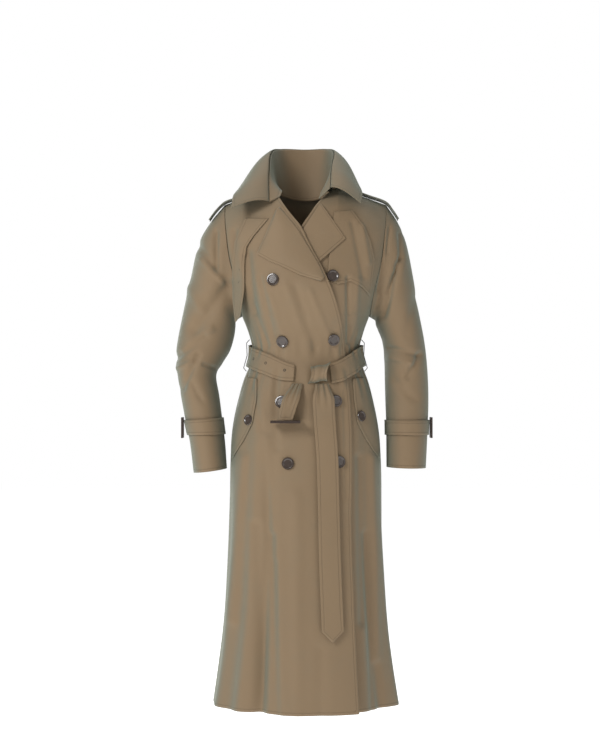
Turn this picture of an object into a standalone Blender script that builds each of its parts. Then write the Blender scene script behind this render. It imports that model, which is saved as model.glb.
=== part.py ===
"""Long double-breasted trench coat, worn closed with its belt tied, as a hollow cloth form.

Every cloth piece is an open surface with a Solidify wall. The body surface is a tube whose section
at each height is a superellipse, and the pieces that lie on it are patches of the same surface,
moved out. Metres, +Z up, the front faces -Y, and z = 0 is the level where the shoulders meet the neck.
"""

import math

import bmesh
import bpy
import numpy as np
from mathutils import Matrix, Vector

# ---- Driving dimensions -------------------------------------------------------------------------
CLOTH = 0.0015  # wall of one layer of gabardine with its turnings
SEAM = 0.0004  # half of the gap left between two pieces at a seam
HEM = -1.082
UNDERARM = -0.262
NECK_HALF_WIDTH = 0.068
NECK_LEVEL = 0.016
SHOULDER_SLOPE = 0.36  # drop of the shoulder for each metre out from the neck
SHOULDER_TURN = 0.10  # height over which the chest and back turn in to the shoulder seam
ROUNDNESS = 2.3  # superellipse power of the body section
ARM_ROWS = 9  # rows from the underarm to the shoulder, shared by the body and the sleeves
SLEEVE_SIDES = 2 * ARM_ROWS

BUTTON_RADIUS = 0.013
BUTTON_THICKNESS = 0.0038
SMALL_BUTTON_RADIUS = 0.0085
BELT_WIDTH = 0.043
BELT_OUT = 0.0068  # outer face of the belt, out from the body surface
BUCKLE_WIDTH = 0.062
BUCKLE_DEPTH = 0.034
BUCKLE_BAR_RADIUS = 0.0022

# Section of the body at each height: half width, depth in front, depth behind
BODY_COLUMNS = ("height", "half_width", "front", "back")
BODY = (
    (-1.082, 0.197, 0.170, 0.165),
    (-1.043, 0.191, 0.166, 0.160),
    (-0.957, 0.180, 0.158, 0.153),
    (-0.871, 0.172, 0.151, 0.146),
    (-0.752, 0.165, 0.142, 0.137),
    (-0.656, 0.163, 0.136, 0.132),
    (-0.570, 0.161, 0.131, 0.128),
    (-0.505, 0.157, 0.126, 0.122),
    (-0.449, 0.147, 0.118, 0.112),
    (-0.402, 0.134, 0.108, 0.099),
    (-0.372, 0.123, 0.101, 0.089),
    (-0.335, 0.114, 0.098, 0.083),
    (-0.300, 0.122, 0.106, 0.087),
    (-0.262, 0.136, 0.121, 0.094),
    (-0.210, 0.158, 0.129, 0.100),
    (-0.160, 0.176, 0.122, 0.103),
    (-0.100, 0.186, 0.108, 0.100),
    (0.000, 0.186, 0.102, 0.095),
)

# Front edges: the right front crosses over the left one; both start at the neck and follow the lapel roll
EDGE_COLUMNS = ("height", "right_front", "left_front")
FRONT_EDGE = (
    (-1.082, 0.103, -0.075),
    (-0.889, 0.095, -0.075),
    (-0.727, 0.092, -0.075),
    (-0.439, 0.092, -0.075),
    (-0.335, 0.081, -0.075),
    (-0.304, 0.078, -0.075),
    (-0.266, 0.071, -0.074),
    (-0.231, 0.061, -0.070),
    (-0.192, 0.046, -0.060),
    (-0.153, 0.028, -0.044),
    (-0.119, 0.009, -0.027),
    (-0.086, -0.010, -0.010),
    (-0.062, -0.033, 0.008),
    (-0.038, -0.052, 0.026),
    (0.000, -0.068, 0.068),
)

# Soft folds of the body: angle round from the front at the top and at the hem, width in degrees,
# height where the fold starts, and how far it stands out at the hem
FOLD_COLUMNS = ("angle_top", "angle_hem", "width", "start", "reach")
FOLDS = (
    (-58.0, -64.0, 9.0, -0.40, 0.010),
    (-36.0, -41.0, 7.0, -0.40, 0.009),
    (-24.0, -27.0, 4.5, -0.42, -0.012),
    (48.0, 52.0, 6.0, -0.45, -0.010),
    (68.0, 70.0, 7.0, -0.45, 0.010),
    (112.0, 114.0, 9.0, -0.45, -0.010),
    (138.0, 140.0, 9.0, -0.42, 0.010),
    (165.0, 166.0, 8.0, -0.42, -0.008),
    (-112.0, -114.0, 9.0, -0.45, -0.009),
    (-140.0, -142.0, 9.0, -0.42, 0.010),
    (-166.0, -167.0, 8.0, -0.42, -0.008),
)

# Sleeve rings, from the armhole to the cuff: outer and inner point seen from the front, then the
# middle and the half depth seen from the side. Distances out are from the middle of the coat.
SLEEVE_COLUMNS = ("outer_x", "outer_z", "inner_x", "inner_z", "middle_y", "half_depth")
RIGHT_SLEEVE = (
    (0.205, -0.060, 0.143, -0.2655, 0.004, 0.066),
    (0.230, -0.105, 0.150, -0.270, 0.006, 0.070),
    (0.247, -0.178, 0.151, -0.284, 0.008, 0.069),
    (0.262, -0.245, 0.154, -0.305, 0.010, 0.065),
    (0.2745, -0.307, 0.163, -0.335, 0.010, 0.062),
    (0.2795, -0.350, 0.179, -0.362, 0.008, 0.060),
    (0.275, -0.388, 0.192, -0.388, 0.004, 0.057),
    (0.266, -0.440, 0.185, -0.433, -0.003, 0.055),
    (0.256, -0.490, 0.178, -0.486, -0.010, 0.053),
    (0.247, -0.533, 0.172, -0.533, -0.016, 0.053),
    (0.239, -0.595, 0.168, -0.586, -0.022, 0.054),
)
LEFT_SLEEVE = (
    (0.199, -0.060, 0.143, -0.2655, 0.004, 0.066),
    (0.217, -0.105, 0.150, -0.270, 0.006, 0.070),
    (0.232, -0.178, 0.152, -0.280, 0.008, 0.069),
    (0.243, -0.245, 0.157, -0.292, 0.010, 0.065),
    (0.255, -0.307, 0.166, -0.316, 0.010, 0.062),
    (0.261, -0.355, 0.170, -0.355, 0.008, 0.060),
    (0.264, -0.405, 0.171, -0.405, 0.004, 0.057),
    (0.264, -0.452, 0.172, -0.452, -0.003, 0.055),
    (0.262, -0.490, 0.173, -0.490, -0.010, 0.053),
    (0.260, -0.533, 0.173, -0.533, -0.016, 0.053),
    (0.257, -0.585, 0.173, -0.583, -0.022, 0.054),
)

# Collar sections round the neck, from the right front end over the back to the left front end:
# the roll line at the top of the stand, and the free edge of the leaf
COLLAR_COLUMNS = ("roll_x", "roll_y", "roll_z", "edge_x", "edge_y", "edge_z")
COLLAR = (
    (-0.078, -0.096, -0.024, -0.155, -0.110, -0.038),
    (-0.079, -0.050, 0.040, -0.150, -0.062, -0.004),
    (-0.074, 0.006, 0.093, -0.134, 0.006, 0.014),
    (-0.050, 0.056, 0.106, -0.082, 0.088, 0.012),
    (0.000, 0.072, 0.107, 0.000, 0.108, 0.004),
    (0.044, 0.056, 0.106, 0.072, 0.088, 0.012),
    (0.062, 0.006, 0.094, 0.111, 0.006, 0.018),
    (0.056, -0.050, 0.052, 0.119, -0.062, 0.000),
    (0.053, -0.088, 0.006, 0.115, -0.112, -0.030),
)

# Middle height of the belt at each angle round from the front
BELT_COLUMNS = ("angle", "height")
BELT_LINE = (
    (-180.0, -0.345),
    (-90.0, -0.345),
    (-62.0, -0.352),
    (-38.0, -0.364),
    (-15.0, -0.380),
    (5.0, -0.385),
    (22.0, -0.383),
    (45.0, -0.366),
    (65.0, -0.351),
    (90.0, -0.345),
    (180.0, -0.345),
)
KNOT_CENTRE = (0.027, -0.384)
KNOT_RADII = (0.026, 0.011, 0.017)
KNOT_OUT = 0.0052  # back of the knot, out from the body surface

# Belt ends below the knot: height, middle, half width and how far out from the body
END_COLUMNS = ("height", "middle", "half_width", "out")
LONG_END = (
    (-0.405, 0.0330, 0.0215, 0.0026),
    (-0.422, 0.0342, 0.0215, 0.0086),
    (-0.470, 0.0370, 0.0215, 0.0086),
    (-0.560, 0.0430, 0.0212, 0.0086),
    (-0.650, 0.0450, 0.0210, 0.0086),
    (-0.780, 0.0470, 0.0208, 0.0086),
    (-0.912, 0.0515, 0.0205, 0.0086),
)
LONG_END_POINT = -0.935
SHORT_END = (
    (-0.405, -0.0160, 0.0170, 0.0026),
    (-0.430, -0.0260, 0.0165, 0.0160),
    (-0.455, -0.0330, 0.0150, 0.0220),
    (-0.4795, -0.0385, 0.0140, 0.0270),
)
BUCKLE_CENTRE = (-0.0385, -0.4835)  # middle of its bar, x and z
BUCKLE_OUT = 0.0255

BUTTON_COLUMNS = ("name", "across", "height", "shank")
BUTTONS = (
    ("front_button_right_1", -0.066, -0.189, 0.0009),
    ("front_button_right_2", -0.047, -0.317, 0.0018),
    ("front_button_right_3", -0.050, -0.443, 0.0003),
    ("front_button_right_4", -0.036, -0.570, 0.0005),
    ("front_button_left_1", 0.0555, -0.181, 0.0010),
    ("front_button_left_2", 0.0565, -0.3135, 0.0018),
    ("front_button_left_3", 0.0620, -0.441, 0.0004),
    ("front_button_left_4", 0.0680, -0.567, 0.0009),
)
POCKET_BUTTONS = (("pocket_button_right", -0.117, -0.481), ("pocket_button_left", 0.1145, -0.473))

CLOTH_COLOUR = (0.235, 0.175, 0.105)
HORN_COLOUR = (0.020, 0.014, 0.010)
LEATHER_COLOUR = (0.018, 0.011, 0.008)
THREAD_COLOUR = (0.012, 0.011, 0.010)


# ---- Numbers along a table ----------------------------------------------------------------------
def column(table, names, name):
    """One named column of a table, as an array."""
    return np.array([row[names.index(name)] for row in table], float)


def smooth_along(at, knots, values):
    """Cubic curve through the values, whose slope at each knot is that of its two neighbours."""
    order = np.argsort(knots)
    knots, values = knots[order], values[order]
    slopes = np.gradient(values, knots)
    at = np.clip(at, knots[0], knots[-1])
    i = np.clip(np.searchsorted(knots, at) - 1, 0, len(knots) - 2)
    span = knots[i + 1] - knots[i]
    t = (at - knots[i]) / span
    start = (2 * t**3 - 3 * t**2 + 1) * values[i] + (t**3 - 2 * t**2 + t) * span * slopes[i]
    end = (3 * t**2 - 2 * t**3) * values[i + 1] + (t**3 - t**2) * span * slopes[i + 1]
    return start + end


def ramp(value, low, high):
    """Rises softly from 0 at low to 1 at high, or falls where high is below low."""
    t = np.clip((value - low) / (high - low), 0, 1)
    return t * t * (3 - 2 * t)


def body_column(name, height):
    return smooth_along(height, column(BODY, BODY_COLUMNS, "height"), column(BODY, BODY_COLUMNS, name))


# ---- The body surface ---------------------------------------------------------------------------
def folds(angle, level):
    """How far the soft folds stand out: a bell across each fold, growing from its start to the hem."""
    total = np.zeros(np.broadcast(angle, level).shape)
    for top, hem, width, start, reach in FOLDS:
        down = np.clip((start - level) / (start - HEM), 0, 1)
        middle = np.radians(top + (hem - top) * down)
        away = (angle - middle + math.pi) % (2 * math.pi) - math.pi
        total = total + reach * down**0.8 * np.exp(-((away / math.radians(width)) ** 2))
    return total


def body(angle, level, out=0.0):
    """Points of the body surface.

    angle runs round from the front, level is the height before the shoulders slope, and out is the
    distance outwards. x and y follow a superellipse, and near the shoulder the depth shrinks as a
    quarter circle does, so that front and back meet along the shoulder.
    """
    angle, level, out = np.broadcast_arrays(angle, level, out)
    sine, cosine = np.sin(angle), np.cos(angle)
    power = 2 / ROUNDNESS
    half = body_column("half_width", level)
    depth = np.where(cosine > 0, body_column("front", level), body_column("back", level))
    turn = np.clip((level + SHOULDER_TURN) / SHOULDER_TURN, 0, 1)
    flat = np.sqrt(np.maximum(1 - turn**2, 0))
    x = half * np.sign(sine) * np.abs(sine) ** power
    y = -depth * flat * np.sign(cosine) * np.abs(cosine) ** power
    slope = NECK_LEVEL - SHOULDER_SLOPE * np.maximum(np.abs(x) - NECK_HALF_WIDTH, 0)
    z = level + slope * ramp(level, -0.17, 0)
    normal_x = np.sign(sine) * np.abs(sine) ** (2 - power) / half
    normal_y = -np.sign(cosine) * np.abs(cosine) ** (2 - power) / depth * np.maximum(flat, 1e-3)
    normal_z = turn / SHOULDER_TURN
    length = np.sqrt(normal_x**2 + normal_y**2 + normal_z**2)
    reach = out + folds(angle, level)
    return np.stack(
        [x + reach * normal_x / length, y + reach * normal_y / length, z + reach * normal_z / length], -1
    )


def angle_at(x, level):
    """Angle round from the front of the point whose distance across is x."""
    share = np.clip(np.abs(x) / body_column("half_width", level), 0, 0.992)
    return np.sign(x) * np.arcsin(share ** (ROUNDNESS / 2))


def level_at(x, height):
    """Level whose point at x stands at the given height, found by repeating the step a few times."""
    level = np.array(height, float)
    slope = NECK_LEVEL - SHOULDER_SLOPE * np.maximum(np.abs(x) - NECK_HALF_WIDTH, 0)
    for _ in range(25):
        level = height - slope * ramp(level, -0.17, 0)
    return np.minimum(level, -0.0005)


def on_body(x, height, out=0.0):
    """Point of the front of the body at a distance across and a height."""
    level = level_at(x, height)
    return body(angle_at(x, level), level, out)


def armhole_angle(level):
    """Angle at which the front or the back stops at the armhole: at the side seam below it, and
    opening like a quarter ellipse above the underarm."""
    rise = np.clip((level - UNDERARM) / 0.10, 0, 1)
    opening = 29 * np.sqrt(1 - (1 - rise) ** 2) - 5 * ramp(level, -0.10, 0)
    return np.radians(90 - opening)


def right_front_out(x, level):
    """The right front lies on the left one where they cross, over its lapel higher up, and its
    folded-back width stands forward towards the hem."""
    crossing = ramp(x, -0.125, -0.085)
    over_lapel = ramp(level, -0.26, -0.18) * ramp(x, -0.10, -0.04)
    standing = ramp(level, -0.45, HEM) * ramp(x, -0.072, -0.050)
    return 0.0039 * crossing + 0.0062 * over_lapel + 0.012 * standing


def levels_down(low):
    """Levels from the shoulder to the underarm, set so that front, back and sleeve share their
    points, then evenly spaced rows down to the hem."""
    steps = np.arange(ARM_ROWS + 1) * math.pi / ARM_ROWS
    upper = UNDERARM / 2 - UNDERARM / 2 * np.cos(steps)
    upper[0] = -1e-5
    lower = np.concatenate([np.linspace(UNDERARM, -0.45, 6)[1:], np.linspace(-0.45, HEM, low)[1:]])
    return np.concatenate([upper, lower])


# ---- Objects ------------------------------------------------------------------------------------
def clear_scene():
    for obj in list(bpy.data.objects):
        bpy.data.objects.remove(obj, do_unlink=True)


def new_collection(name):
    made = bpy.data.collections.new(name)
    bpy.context.scene.collection.children.link(made)
    return made


def material(name, colour, roughness):
    made = bpy.data.materials.new(name)
    made.use_nodes = True
    shader = made.node_tree.nodes["Principled BSDF"]
    shader.inputs["Base Color"].default_value = (*colour, 1)
    shader.inputs["Roughness"].default_value = roughness
    shader.inputs["Metallic"].default_value = 0
    return made


def add(name, mesh, colour, roughness=0.8):
    obj = bpy.data.objects.new(name, mesh)
    COAT.objects.link(obj)
    mesh.materials.append(material(name + "_finish", colour, roughness))
    return obj


def grid_mesh(name, points, closed=False):
    """Mesh of a grid of points, rows by columns, whose columns may close round."""
    rows, columns = points.shape[:2]
    mesh = bpy.data.meshes.new(name)
    across = columns if closed else columns - 1
    first = (np.arange(rows - 1)[:, None] * columns + np.arange(across)).ravel()
    right = (np.arange(rows - 1)[:, None] * columns + (np.arange(across) + 1) % columns).ravel()
    faces = np.stack([first, right, right + columns, first + columns], 1)
    mesh.from_pydata(points.reshape(-1, 3).tolist(), [], faces.tolist())
    mesh.validate()
    return mesh


def shell(name, points, outwards, closed=False, wall=CLOTH, colour=CLOTH_COLOUR):
    """Cloth piece: the grid is its outer face and Solidify adds the wall behind it. outwards is a
    rough direction that the outer face looks, at the grid's middle."""
    mesh = grid_mesh(name, points, closed)
    middle = mesh.polygons[len(mesh.polygons) // 2]
    if middle.normal.dot(Vector(outwards)) < 0:
        mesh.flip_normals()
    obj = add(name, mesh, colour)
    solid = obj.modifiers.new("Wall", "SOLIDIFY")
    solid.thickness = wall
    solid.offset = -1
    solid.use_even_offset = False
    solid.use_rim = True
    mesh.shade_smooth()
    return obj


def edge_points(corners, count):
    """Points evenly spaced along a line through the corners."""
    corners = np.array(corners, float)
    steps = np.linalg.norm(np.diff(corners, axis=0), axis=1)
    along = np.concatenate([[0], np.cumsum(steps)])
    at = np.linspace(0, along[-1], count)
    return np.stack([np.interp(at, along, corners[:, k]) for k in range(corners.shape[1])], 1)


def patch(top, bottom, left, right, across, down):
    """Coons patch between four edges: the two blends of facing edges, less the blend of the corners."""
    top, bottom = edge_points(top, across + 1), edge_points(bottom, across + 1)
    left, right = edge_points(left, down + 1), edge_points(right, down + 1)
    u = np.linspace(0, 1, across + 1)[None, :, None]
    v = np.linspace(0, 1, down + 1)[:, None, None]
    corners = (1 - u) * (1 - v) * top[0] + u * (1 - v) * top[-1] + (1 - u) * v * bottom[0] + u * v * bottom[-1]
    return (1 - v) * top[None] + v * bottom[None] + (1 - u) * left[:, None] + u * right[:, None] - corners


def turned(name, profile, sides, place, colour, roughness):
    """Turned solid: a profile of (radius, height) from its top on the axis to its foot, round Z."""
    mesh = bpy.data.meshes.new(name)
    points = [(radius, 0, height) for radius, height in profile]
    mesh.from_pydata(points, [(i, i + 1) for i in range(len(points) - 1)], [])
    obj = add(name, mesh, colour, roughness)
    screw = obj.modifiers.new("Turn", "SCREW")
    screw.steps = screw.render_steps = sides
    screw.use_merge_vertices = True
    screw.merge_threshold = 0.0001
    obj.matrix_world = place
    return obj


def facing(point, normal):
    """Placement with its Z axis along the normal."""
    turn = Vector(normal).to_track_quat("Z", "X").to_matrix().to_4x4()
    return Matrix.Translation(Vector(point)) @ turn


# ---- Fronts, back and sleeves -------------------------------------------------------------------
def front(name, side, edge_name, out_rule, columns):
    """One front, from its front edge to the side seam and the armhole, in rows of equal level."""
    level = levels_down(10)[:, None]
    edge = smooth_along(level, column(FRONT_EDGE, EDGE_COLUMNS, "height"), column(FRONT_EDGE, EDGE_COLUMNS, edge_name))
    side_angle = side * (armhole_angle(level) - 0.0018)
    share = np.linspace(0, 1, columns + 1)[None, :]
    angle = angle_at(edge, level) * (1 - share) + side_angle * share
    x = body(angle, level)[..., 0]
    shell(name, body(angle, level, out_rule(x, level)), (0, -1, 0))


def back():
    """The back in one piece, side seam to side seam, with its top cut down to the neck."""
    level = levels_down(10)[:, None]
    start = armhole_angle(level) - 0.0018
    share = np.linspace(-1, 1, 19)[None, :]
    angle = math.pi - share * start
    x = body(angle, level)[..., 0]
    drop = 0.020 * np.sqrt(np.maximum(1 - (x / NECK_HALF_WIDTH) ** 2, 0))
    level = np.minimum(level - drop * ramp(level, -0.09, 0), -1e-5)
    shell("back", body(angle, level), (0, 1, 0))


def armhole(side):
    """The loop that the sleeve is set to, from the shoulder down the front and up the back."""
    turn = np.arange(SLEEVE_SIDES) * 2 * math.pi / SLEEVE_SIDES
    level = np.minimum(UNDERARM / 2 - UNDERARM / 2 * np.cos(turn), -1e-5)
    angle = armhole_angle(level)
    angle = np.where(turn <= math.pi, angle, math.pi - angle)
    return body(side * angle, level)


def sleeve_rings(table, side):
    """Rings of the sleeve: each is an ellipse through its outer and inner points."""
    turn = np.arange(SLEEVE_SIDES) * 2 * math.pi / SLEEVE_SIDES
    rings = []
    for outer_x, outer_z, inner_x, inner_z, middle_y, half_depth in table:
        middle_x, middle_z = (outer_x + inner_x) / 2, (outer_z + inner_z) / 2
        x = middle_x + (outer_x - middle_x) * np.cos(turn)
        z = middle_z + (outer_z - middle_z) * np.cos(turn)
        y = middle_y - half_depth * np.sin(turn)
        rings.append(np.stack([side * x, y, z], -1))
    return np.array(rings)


def sleeve(name, table, side):
    start = armhole(side) + np.array([side * 0.0012, 0, 0])
    rings = np.concatenate([start[None], sleeve_rings(table, side)])
    shell(name, rings, rings[6, SLEEVE_SIDES // 2] - rings[6].mean(0), closed=True)


# ---- Collar and lapels --------------------------------------------------------------------------
def collar_line(prefix, count):
    """Smooth line through one line of the collar's sections."""
    knots = np.linspace(0, 1, len(COLLAR))
    at = np.linspace(0, 1, count)
    return np.stack([smooth_along(at, knots, column(COLLAR, COLLAR_COLUMNS, prefix + axis)) for axis in "_x _y _z".split()], 1)


def neck_line(count):
    """Foot of the collar stand: just inside the neck edge of each front, and round the back."""
    ends = []
    for edge_name, levels in (("right_front", (-0.034, -0.017)), ("left_front", (-0.017, -0.034))):
        level = np.array(levels)
        edge = smooth_along(level, column(FRONT_EDGE, EDGE_COLUMNS, "height"), column(FRONT_EDGE, EDGE_COLUMNS, edge_name))
        low = level < -0.03
        inside = np.where(low, 0.002, 0.012) * np.sign(edge)
        out = np.where(low, 0.0105 if edge_name == "right_front" else 0.0035, 0.004)
        ends.append(body(angle_at(edge - inside, level), level, out))
    turn = np.radians(np.array([-72.0, -45.0, -20.0, 0.0, 20.0, 45.0, 72.0]))
    ring = np.stack([0.063 * np.sin(turn), 0.054 * np.cos(turn), -0.008 + 0.014 * np.sin(turn) ** 2], 1)
    points = np.concatenate([ends[0], ring, ends[1]])
    knots = np.linspace(0, 1, len(points))
    return np.stack([smooth_along(np.linspace(0, 1, count), knots, points[:, k]) for k in range(3)], 1)


def collar():
    """Stand and leaf: the stand rises from the neck to the roll line, and the leaf falls from it."""
    count = 25
    roll, edge, foot = collar_line("roll", count), collar_line("edge", count), neck_line(count)
    v = np.linspace(0, 1, 5)[:, None, None]
    bulge = 0.010 * np.sin(math.pi * v)
    away = edge - roll
    lift = np.cross(np.gradient(roll, axis=0), away)
    lift /= np.linalg.norm(lift, axis=1)[:, None]
    lift *= np.sign(lift[:, 2:3] + 1e-9)
    leaf = roll[None] + v * away[None] + bulge * lift[None]
    shell("collar_leaf", leaf, (0, 1, 0.5))
    inner = roll * np.array([0.970, 0.970, 1]) - np.array([0, 0, 0.0012])
    stand = inner[None] * (1 - v) + foot[None] * v
    shell("collar_stand", stand, (0, 1, 0))


def lapels():
    right = patch(
        top=((-0.053, -0.042), (-0.062, -0.050)),
        bottom=((0.038, -0.184), (0.030, -0.193)),
        left=((-0.053, -0.042), (-0.036, -0.062), (-0.013, -0.088), (0.006, -0.121), (0.024, -0.153), (0.038, -0.184)),
        right=((-0.062, -0.050), (-0.101, -0.134), (-0.074, -0.150), (-0.043, -0.164), (-0.012, -0.180), (0.030, -0.193)),
        across=6, down=12,
    )
    x, height = right[..., 0], right[..., 1]
    shell("lapel_right", on_body(x, height, right_front_out(x, height) + 0.0026), (0, -1, 0))
    left = patch(
        top=((0.030, -0.030), (0.034, -0.033)),
        bottom=((-0.020, -0.125), (0.012, -0.146)),
        left=((0.030, -0.030), (0.012, -0.058), (-0.006, -0.085), (-0.020, -0.125)),
        right=((0.034, -0.033), (0.083, -0.102), (0.028, -0.152), (0.012, -0.146)),
        across=6, down=12,
    )
    shell("lapel_left", on_body(left[..., 0], left[..., 1], 0.0054), (0, -1, 0))


def storm_flap():
    points = patch(
        top=((0.060, -0.046), (0.098, -0.042)),
        bottom=((0.045, -0.190), (0.068, -0.198), (0.093, -0.192), (0.118, -0.204), (0.1335, -0.221)),
        left=((0.060, -0.046), (0.050, -0.120), (0.045, -0.190)),
        right=((0.098, -0.042), (0.118, -0.070), (0.135, -0.104), (0.1445, -0.150), (0.140, -0.178), (0.1335, -0.221)),
        across=6, down=9,
    )
    shell("storm_flap", on_body(points[..., 0], points[..., 1], 0.0030), (0, -1, 0))


def throat_latch():
    """Pointed strap that hangs from under the collar, free of the body below the chest."""
    points = patch(
        top=((-0.128, -0.056), (-0.078, -0.060)),
        bottom=((-0.149, -0.277), (-0.1377, -0.263)),
        left=((-0.128, -0.056), (-0.149, -0.106), (-0.155, -0.152), (-0.154, -0.231), (-0.149, -0.277)),
        right=((-0.078, -0.060), (-0.1096, -0.096), (-0.124, -0.118), (-0.128, -0.148), (-0.129, -0.210), (-0.1377, -0.263)),
        across=3, down=10,
    )
    x, height = points[..., 0], points[..., 1]
    above = np.maximum(height, -0.19)
    lain = on_body(x * 0.98, above, 0.0036 + right_front_out(x, above))
    lain[..., 0] = x
    lain[..., 2] = height
    shell("throat_latch", lain, (0, -1, 0))


# ---- Belt ---------------------------------------------------------------------------------------
def belt():
    """Waist band from one side of the knot round the back to the other side."""
    angle = np.radians(np.linspace(20.0, 352.0, 49))[None, :]
    wrapped = (angle + math.pi) % (2 * math.pi) - math.pi
    middle = smooth_along(np.degrees(wrapped), column(BELT_LINE, BELT_COLUMNS, "angle"), column(BELT_LINE, BELT_COLUMNS, "height"))
    down = np.linspace(0.5, -0.5, 3)[:, None] * BELT_WIDTH
    shell("belt_band", body(wrapped, middle + down, BELT_OUT), (0, 1, 0))


def belt_end(name, table, point):
    """Hanging end of the belt, across its width at each height, with a point where it has one."""
    rows = list(table)
    height = column(rows, END_COLUMNS, "height")[:, None]
    middle = column(rows, END_COLUMNS, "middle")[:, None]
    half = column(rows, END_COLUMNS, "half_width")[:, None]
    out = column(rows, END_COLUMNS, "out")[:, None]
    share = np.linspace(-1, 1, 5)[None, :]
    drop = np.zeros((len(rows), 5))
    if point is not None:
        drop[-1] = (point - height[-1]) * (1 - np.abs(share[0]))
    x, height = middle + half * share, height + drop
    shell(name, on_body(x, height, out + right_front_out(x, height)), (0, -1, 0))


def knot():
    x, height = KNOT_CENTRE
    centre = on_body(np.array(x), np.array(height), KNOT_OUT + KNOT_RADII[1])
    mesh = bpy.data.meshes.new("belt_knot")
    shape = bmesh.new()
    bmesh.ops.create_uvsphere(shape, u_segments=16, v_segments=8, radius=1.0)
    bmesh.ops.scale(shape, vec=KNOT_RADII, verts=shape.verts)
    bmesh.ops.translate(shape, vec=centre.tolist(), verts=shape.verts)
    shape.to_mesh(mesh)
    shape.free()
    add("belt_knot", mesh, CLOTH_COLOUR)


def frame_buckle(name, place, width, depth, thickness, rail):
    """Flat rectangular buckle with a centre bar: a box with two windows cut through it."""
    mesh = bpy.data.meshes.new(name)
    shape = bmesh.new()
    bmesh.ops.create_cube(shape, size=1.0)
    bmesh.ops.scale(shape, vec=(width, depth, thickness), verts=shape.verts)
    shape.to_mesh(mesh)
    shape.free()
    obj = add(name, mesh, LEATHER_COLOUR, 0.35)
    obj.matrix_world = place
    window = (depth - 3 * rail) / 2
    for side in (-1, 1):
        cutter_mesh = bpy.data.meshes.new(f"{name}_window_{side}")
        shape = bmesh.new()
        bmesh.ops.create_cube(shape, size=1.0)
        bmesh.ops.scale(shape, vec=(width - 2 * rail, window, thickness * 3), verts=shape.verts)
        bmesh.ops.translate(shape, vec=(0, side * (rail + window) / 2, 0), verts=shape.verts)
        shape.to_mesh(cutter_mesh)
        shape.free()
        cutter = bpy.data.objects.new(cutter_mesh.name, cutter_mesh)
        CUTTERS.objects.link(cutter)
        cutter.matrix_world = place
        cutter.hide_render = True
        cutter.display_type = "WIRE"
        cut = obj.modifiers.new("Window", "BOOLEAN")
        cut.operation = "DIFFERENCE"
        cut.object = cutter
    return obj


def belt_buckle():
    x, height = BUCKLE_CENTRE
    centre = on_body(np.array(x), np.array(height), BUCKLE_OUT)
    place = Matrix.Translation(Vector(centre))
    frame_buckle("belt_buckle", place, BUCKLE_WIDTH, BUCKLE_DEPTH, 0.005, 0.006)


def belt_carriers():
    """Thread loops at the side seams that the belt passes through."""
    for name, side in (("belt_carrier_right", -1), ("belt_carrier_left", 1)):
        route = ((-0.311, 0.0016), (-0.318, 0.0100), (-0.345, 0.0106), (-0.372, 0.0100), (-0.379, 0.0016))
        points = [body(np.array(side * math.pi / 2), np.array(level), out) for level, out in route]
        curve = bpy.data.curves.new(name, "CURVE")
        curve.dimensions = "3D"
        curve.bevel_depth = 0.0009
        curve.bevel_resolution = 1
        curve.use_fill_caps = True
        spline = curve.splines.new("POLY")
        spline.points.add(len(points) - 1)
        for target, point in zip(spline.points, points):
            target.co = (*point, 1)
        add(name, curve, THREAD_COLOUR)


# ---- Pockets, shoulder and cuff straps, buttons -------------------------------------------------
def pocket_flaps():
    for name, side in (("pocket_flap_right", -1), ("pocket_flap_left", 1)):
        points = patch(
            top=((0.121, -0.392), (0.098, -0.394)),
            bottom=((0.1535, -0.548), (0.149, -0.562)),
            left=((0.121, -0.392), (0.139, -0.440), (0.150, -0.500), (0.1535, -0.548)),
            right=((0.098, -0.394), (0.101, -0.440), (0.108, -0.486), (0.129, -0.526), (0.149, -0.562)),
            across=4, down=8,
        )
        x, height = side * points[..., 0], points[..., 1]
        out = 0.0026 + (right_front_out(x, height) if side < 0 else 0)
        shell(name, on_body(x, height, out), (0, -1, 0))


def shoulder_straps():
    """Straps along the top of each shoulder, from under the collar to the sleeve head."""
    rows = {
        "shoulder_strap_right": (-1, ((0.118, 0.002), (0.150, -0.009), (0.174, -0.018), (0.192, -0.035), (0.207, -0.055))),
        "shoulder_strap_left": (1, ((0.104, 0.008), (0.135, -0.0035), (0.172, -0.017), (0.188, -0.035), (0.200, -0.053))),
    }
    for name, (side, line) in rows.items():
        line = edge_points(line, 8)
        across = np.linspace(-1, 1, 5)[None, :]
        x = side * line[:, 0:1] + 0 * across
        y = 0.021 * across - 0.004
        z = line[:, 1:2] + 0.0035 - 0.004 * across**2
        shell(name, np.stack([x, y + 0 * x, z], -1), (0, 0, 1))


def cuff_straps():
    """Strap round each cuff, a little outside the sleeve, with its leather buckle on the outer side."""
    for name, table, side, buckle_out in (("right", RIGHT_SLEEVE, -1, 0.0072), ("left", LEFT_SLEEVE, 1, 0.0052)):
        rings = sleeve_rings(table, side)
        outer = np.array([row[1] for row in table])
        band = []
        for height in np.linspace(-0.484, -0.515, 3):
            place = np.interp(-height, -outer, np.arange(len(table)))
            low = int(place)
            ring = rings[low] + (place - low) * (rings[low + 1] - rings[low])
            centre = ring.mean(0)
            away = ring - centre
            band.append(ring + away / np.linalg.norm(away, axis=1)[:, None] * 0.0024)
        band = np.array(band)
        shell("cuff_strap_" + name, band, band[1, SLEEVE_SIDES // 2] - band[1].mean(0), closed=True)
        point = band[1, 0] + np.array([side * buckle_out, 0, 0])
        place = Matrix.Translation(Vector(point)) @ Matrix.Rotation(math.pi / 2, 4, "Y")
        frame_buckle("cuff_buckle_" + name, place, 0.044, 0.036, 0.004, 0.005)


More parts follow.
